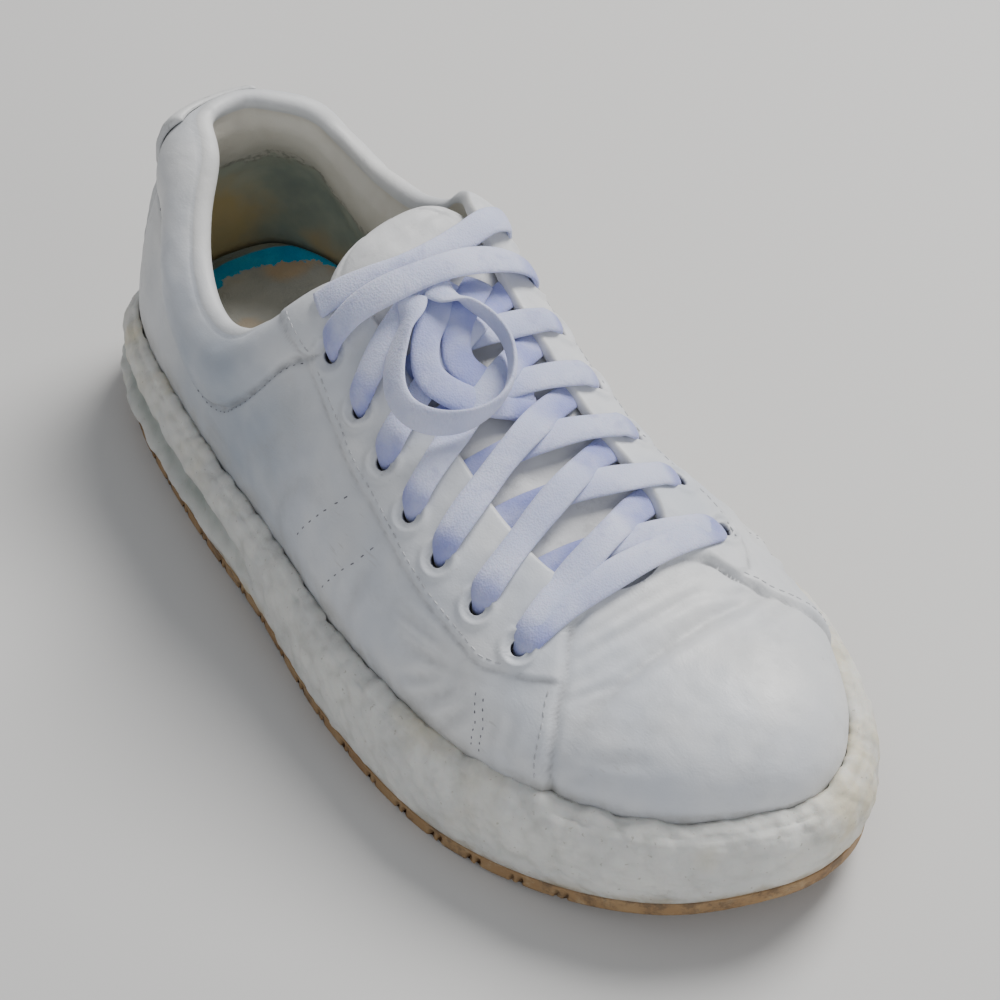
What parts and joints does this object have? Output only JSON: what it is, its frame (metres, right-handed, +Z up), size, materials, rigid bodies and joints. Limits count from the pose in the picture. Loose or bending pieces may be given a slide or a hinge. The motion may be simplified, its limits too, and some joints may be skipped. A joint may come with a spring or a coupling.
{
  "type": "low sneaker",
  "caption": "Worn low leather sneaker for a right foot: hollow upper, foam midsole, gum rubber tread, padded collar, tongue, insole and flat laces.",
  "frame": {"origin": "middle of the sole's outline on the floor that the shoe stands on", "axes": "-Y towards the toe, +X towards the wearer's left (the inner side of this right shoe), +Z up"},
  "size_m": [0.1241, 0.295, 0.1149],
  "materials": {
    "outsole_rubber": "gum brown, dirty, matte",
    "strip_rubber": "pale green cream, crumpled",
    "midsole_foam": "off-white lumpy pellet foam, yellowed",
    "upper_leather": "smooth white leather, creased and soiled",
    "tab_leather": "white leather overlay, worn",
    "tongue_leather": "white padded leather, soft",
    "insole_fabric": "worn grey beige cloth, ragged",
    "lace_fabric": "flat woven cotton, pale lavender white"
  },
  "bodies": {
    "root": {"outsole": "outsole_rubber", "sole_strip": "strip_rubber", "midsole": "midsole_foam", "upper": "upper_leather", "heel_tab": "tab_leather", "tongue": "tongue_leather", "insole": "insole_fabric", "lace_bars": "lace_fabric", "lace_loop": "lace_fabric", "lace_end": "lace_fabric"}
  },
  "joints": []
}
